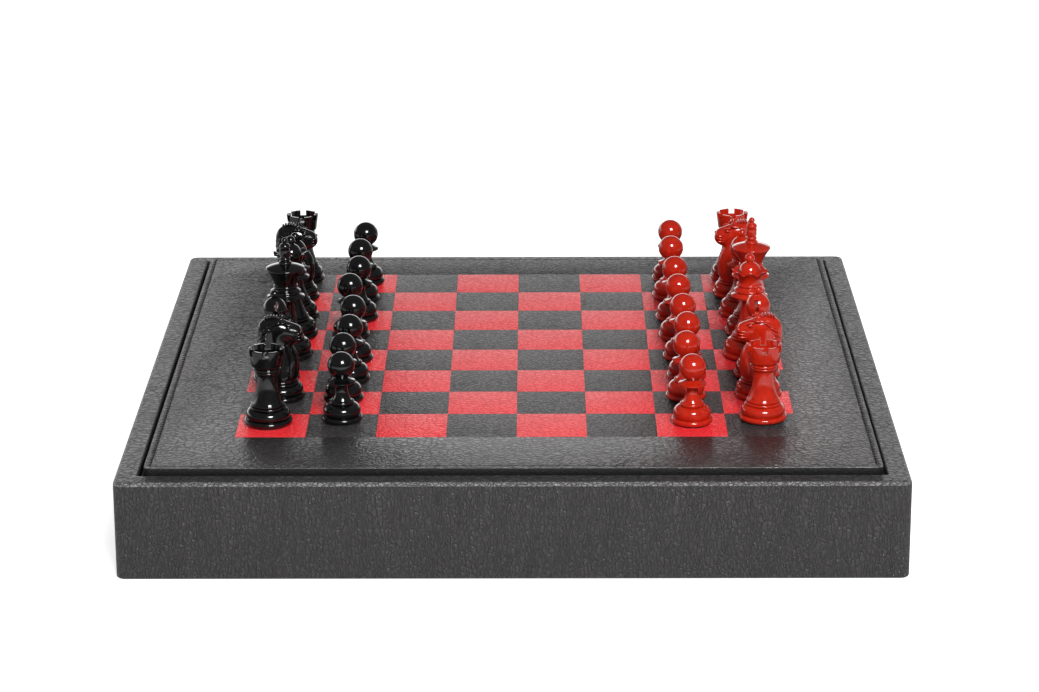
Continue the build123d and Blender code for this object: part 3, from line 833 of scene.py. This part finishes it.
def make_bishop(node, body, colour, facing):
    place = foot_place(node)
    turning = Turning(FELT)
    turning.pedestal(BISHOP_FOOT, swell=12.2, swell_rise=6.2, ring=8.8, ring_rise=1.6)
    turning.arc(through=4.1, radius=4.1, rise=16.6, share=STEM_WAIST)
    turning.collar(radius=8.4, rise=1.6, slope=1.3, top=5.0)
    turning.ring(radius=5.6, rise=1.4)
    turning.line(3.6)
    turning.arc(through=7.0, radius=1.7, rise=14.4)
    head_top = turning.height
    turning.ball(radius=2.5, seat=1.7)
    bm = turned_bm(turning, place, BISHOP_FOOT - PAD_INSET)
    bishop = stand(bm, f"{node}_turned", body, [LACQUER[colour], dark_felt], [node])
    slit = bmesh.new()
    lean = Matrix.Rotation(facing * SLIT_LEAN, 4, "Y")
    spot = Matrix.Translation((place.x + facing * SLIT_FORWARD * MM, place.y, place.z + head_top * MM))
    size = Matrix.Diagonal((*(side * MM for side in SLIT), 1))
    bmesh.ops.create_cube(slit, size=1, matrix=spot @ lean @ size)
    sawn(bishop, slit)
    return bishop


# %% [markdown]
# ### Queens and kings
# Both stand on the same kind of stem. The queen's coronet is filed into eight lobes, which are pushed into the spun
# mesh, and the king has a cup-shaped crown with a finial.

# %% Queen and king
ROYAL_FOOT = 15.0
CORONET = 10.3
CORONET_CUT = 2.4
LOBE_START = 7.4
LOBES = 8
DOME = 6.4
DOME_SEAT = 1.9
KING_CROWN = 11.2
FINIAL_SEAT = 3.7


def royal(stem, stem_rise, collar, middle_ring, upper_ring):
    """The outline that queen and king share, up to the ring under the crown."""
    turning = Turning(FELT)
    turning.pedestal(ROYAL_FOOT, swell=13.9, swell_rise=7.2, ring=10.1, ring_rise=1.7)
    turning.arc(stem, stem, stem_rise, STEM_WAIST)
    turning.collar(collar, rise=1.9, slope=2.0, top=middle_ring - RING_ROUND)
    turning.ring(middle_ring, rise=1.7)
    turning.line(upper_ring - RING_ROUND, rise=1.6)
    turning.ring(upper_ring, rise=1.7)
    turning.line(DOME)
    return turning


def make_queen(node, body, colour, facing):
    place = foot_place(node)
    turning = royal(stem=4.7, stem_rise=20.3, collar=10.5, middle_ring=9.0, upper_ring=7.5)
    flare_foot = turning.height
    turning.arc(through=7.0, radius=CORONET, rise=8.0)
    rim = turning.height
    turning.line(9.3)
    turning.line(DOME, rise=-1.6)
    dome_rise = sqrt(DOME ** 2 - DOME_SEAT ** 2)
    turning.arc(sqrt(DOME ** 2 - (dome_rise / 2) ** 2), DOME_SEAT, dome_rise)
    turning.ball(radius=2.8, seat=DOME_SEAT)
    bm = turned_bm(turning, place, ROYAL_FOOT - PAD_INSET)
    for vert in bm.verts:
        out = vert.co - place
        radius = hypot(out.x, out.y) / MM
        height = out.z / MM
        if radius > LOBE_START and flare_foot + 2 < height < rim + 0.5:
            share = (radius - LOBE_START) / (CORONET - LOBE_START)
            lobe = abs(cos(LOBES / 2 * atan2(out.y, out.x)))
            vert.co.z -= CORONET_CUT * MM * share * (1 - lobe ** 0.7)
    return stand(bm, f"{node}_turned", body, [LACQUER[colour], dark_felt], [node])


def make_king(node, body, colour, facing):
    place = foot_place(node)
    turning = royal(stem=4.9, stem_rise=19.8, collar=10.9, middle_ring=8.8, upper_ring=7.1)
    turning.arc(through=8.3, radius=KING_CROWN, rise=9.2)
    turning.line(KING_CROWN, rise=COLLAR_EDGE)
    turning.arc(through=7.45, radius=FINIAL_SEAT, rise=2.2, share=1 - SWELL_BELLY)
    seat = turning.height
    turning.line(0.0)
    bm = turned_bm(turning, place, ROYAL_FOOT - PAD_INSET)
    stand(bm, f"{node}_turned", body, [LACQUER[colour], dark_felt], [node])
    finial = Turning(seat)
    finial.line(FINIAL_SEAT)
    finial.line(FINIAL_SEAT, rise=1.2)
    finial.line(2.5, rise=0.8)
    finial.ring(radius=3.1, rise=2.0)
    finial.line(2.5, rise=0.8)
    finial.line(3.0)
    finial.line(3.0, rise=4.0)
    finial.line(2.5)
    finial.ring(radius=3.1, rise=2.9)
    finial.line(1.1, rise=0.8)
    finial.ball(radius=1.75, seat=1.1)
    bm = turned_bm(finial, place)
    return stand(bm, f"{node}_finial_turned", body, [LACQUER[colour]], [f"{node}_finial"])


# %% [markdown]
# ### Knights
# A knight is carved. Its head is a loft: rings that each span the horse from its front line to its back line are
# bridged in turn, up the neck and then forward to the nose. The mane, ears, eyes and the carver's lines are small
# shapes set into it.

# %% Knight
KNIGHT_FOOT = 13.3
# Each ring of the loft: its point on the front line, its point on the back line (forward, up) and its half width
KNIGHT_RINGS = [((9.2, 0.0), (-9.2, 0.0), 9.2), ((10.4, 4.0), (-10.2, 4.0), 8.6), ((10.8, 8.0), (-11.2, 9.0), 7.8),
                ((10.2, 13.0), (-12.2, 15.0), 7.0), ((8.4, 17.2), (-12.8, 21.0), 6.4),
                ((7.4, 18.6), (-12.8, 27.0), 6.2), ((7.3, 19.3), (-11.4, 32.6), 6.0),
                ((7.8, 19.8), (-6.6, 35.4), 5.8), ((8.8, 20.2), (0.0, 35.0), 5.6),
                ((10.0, 20.8), (4.2, 33.0), 5.2), ((11.4, 21.8), (8.2, 31.6), 4.6), ((12.6, 23.6), (11.0, 30.4), 4.0),
                ((12.9, 25.0), (12.2, 28.6), 2.6)]
KNIGHT_TUFT = [(-1.6, 35.0), (-3.2, 35.3), (-4.8, 35.4), (-6.4, 35.1), (-8.0, 34.5)]
KNIGHT_MANE = [(-2.6, 35.6), (-4.8, 35.6), (-7.0, 34.6), (-9.0, 33.0), (-10.7, 31.0), (-11.9, 28.4), (-12.4, 25.4),
               (-12.6, 22.2), (-12.4, 19.0), (-12.0, 15.8)]
NECK_LOCKS = 5
# Each carved detail of a side: its place (forward, out, up), its half sizes and its tilt in degrees
KNIGHT_DETAILS = {"ear": ((1.2, 3.4, 34.2), (1.5, 1.2, 2.0), 20), "eye": ((5.0, 5.2, 30.4), (1.5, 0.9, 1.1), 0),
                  "brow": ((5.0, 5.0, 32.0), (2.4, 0.8, 0.6), -12),
                  "nostril": ((11.6, 3.3, 27.6), (1.1, 0.8, 0.9), 0)}
MOUTH_LINES = 3


def knight_point(seat, facing, forward, across, up):
    """A point on the horse, from the middle of its seat."""
    return seat + Vector((facing * forward, across, up)) * MM


def knob(bm, seat, facing, spot, size, tilt=0.0):
    """A small smooth bump: an ellipsoid set into the carving, its length tilted upwards."""
    place = Matrix.Translation(knight_point(seat, facing, *spot))
    turn_up = Matrix.Rotation(-facing * radians(tilt), 4, "Y")
    bmesh.ops.create_uvsphere(bm, u_segments=12, v_segments=8, radius=1,
                              matrix=place @ turn_up @ Matrix.Diagonal((*(s * MM for s in size), 1)))


def make_knight(node, body, colour, facing):
    base = f"{node}_base"
    head = f"{node}_head"
    turning = Turning(FELT)
    turning.pedestal(KNIGHT_FOOT, swell=12.3, swell_rise=5.4, ring=10.0, ring_rise=1.5)
    turning.line(0.0)
    bm = turned_bm(turning, foot_place(base), KNIGHT_FOOT - PAD_INSET)
    stand(bm, f"{base}_turned", body, [LACQUER[colour], dark_felt], [base])

    seat = foot_place(base)
    seat.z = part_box(head)[0][2]
    bm = bmesh.new()
    loops = []
    for front, back, half_width in KNIGHT_RINGS:
        near = knight_point(seat, facing, front[0], 0, front[1])
        far = knight_point(seat, facing, back[0], 0, back[1])
        spread = (near - far) / 2
        span = Matrix.Identity(4)
        span.col[0][:3] = spread
        span.col[1][:3] = (0, half_width * MM, 0)
        span.col[2][:3] = spread.cross(Vector((0, half_width * MM, 0))).normalized() * MM
        span.translation = (near + far) / 2
        circle = bmesh.ops.create_circle(bm, segments=24, radius=1, matrix=span)["verts"]
        loops.append(list({e for v in circle for e in v.link_edges}))
    for lower, upper in zip(loops, loops[1:]):
        bmesh.ops.bridge_loops(bm, edges=lower + upper)
    bmesh.ops.holes_fill(bm, edges=loops[0] + loops[-1])
    bmesh.ops.smooth_vert(bm, verts=[v for v in bm.verts if v.co.z > seat.z + MM], factor=0.4,
                          use_axis_x=True, use_axis_y=True, use_axis_z=True)
    bmesh.ops.subdivide_edges(bm, edges=bm.edges, cuts=1, use_grid_fill=True, smooth=0.6)
    for forward, up in KNIGHT_TUFT:
        knob(bm, seat, facing, (forward, 0, up), (0.65, 3.4, 1.3))
    for forward, up in KNIGHT_MANE[-NECK_LOCKS:]:
        knob(bm, seat, facing, (forward + 1.0, 0, up), (1.7, 2.4, 1.3), 150 - 4 * up)
    for side in (-1, 1):
        for lock, (forward, up) in enumerate(KNIGHT_MANE):
            knob(bm, seat, facing, (forward + 3.2, side * 4.6, up - 2.6), (3.6, 1.6, 0.9), 10 + 5 * lock)
        for (forward, out, up), size, tilt in KNIGHT_DETAILS.values():
            knob(bm, seat, facing, (forward, side * out, up), size, tilt)
        for line in range(MOUTH_LINES):
            knob(bm, seat, facing, (9.4, side * 4.4, 23.6 + 1.7 * line), (2.8, 0.7, 0.5), 4)
    bmesh.ops.recalc_face_normals(bm, faces=bm.faces)
    return stand(bm, f"{head}_carved", body, [LACQUER[colour]], [head], radians(60))


# %% [markdown]
# ### The set
# Each body that is named for a colour is a chess piece. The two armies face each other across the board.

# %% Set the board
MAKERS = {"pawn": make_pawn, "rook": make_rook, "knight": make_knight, "bishop": make_bishop,
          "queen": make_queen, "king": make_king}
for body in frame["bodies"]:
    colour, _, kind = body.partition("_")
    if colour in LACQUER:
        MAKERS[kind.split("_")[0]](body, body, colour, 1 if colour == "black" else -1)

# %% [markdown]
# ## What stays as packed
# The boards, liners, divider and linings have the right shape already, so they only get their finish.

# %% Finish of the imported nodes
PACKED = {plain_board: ["front_wall", "back_wall", "left_wall", "right_wall", "base_board", "lid_board"],
          black_suede: ["front_liner", "back_liner", "left_liner", "right_liner", "floor_lining", "divider",
                        "lid_lining"],
          border_leather: ["base_cover"]}
for finish, names in PACKED.items():
    for name in names:
        slots = frame["nodes"][name].data.materials
        slots.clear()
        slots.append(finish)
print(sum(len(names) for names in PACKED.values()), "packed nodes finished")
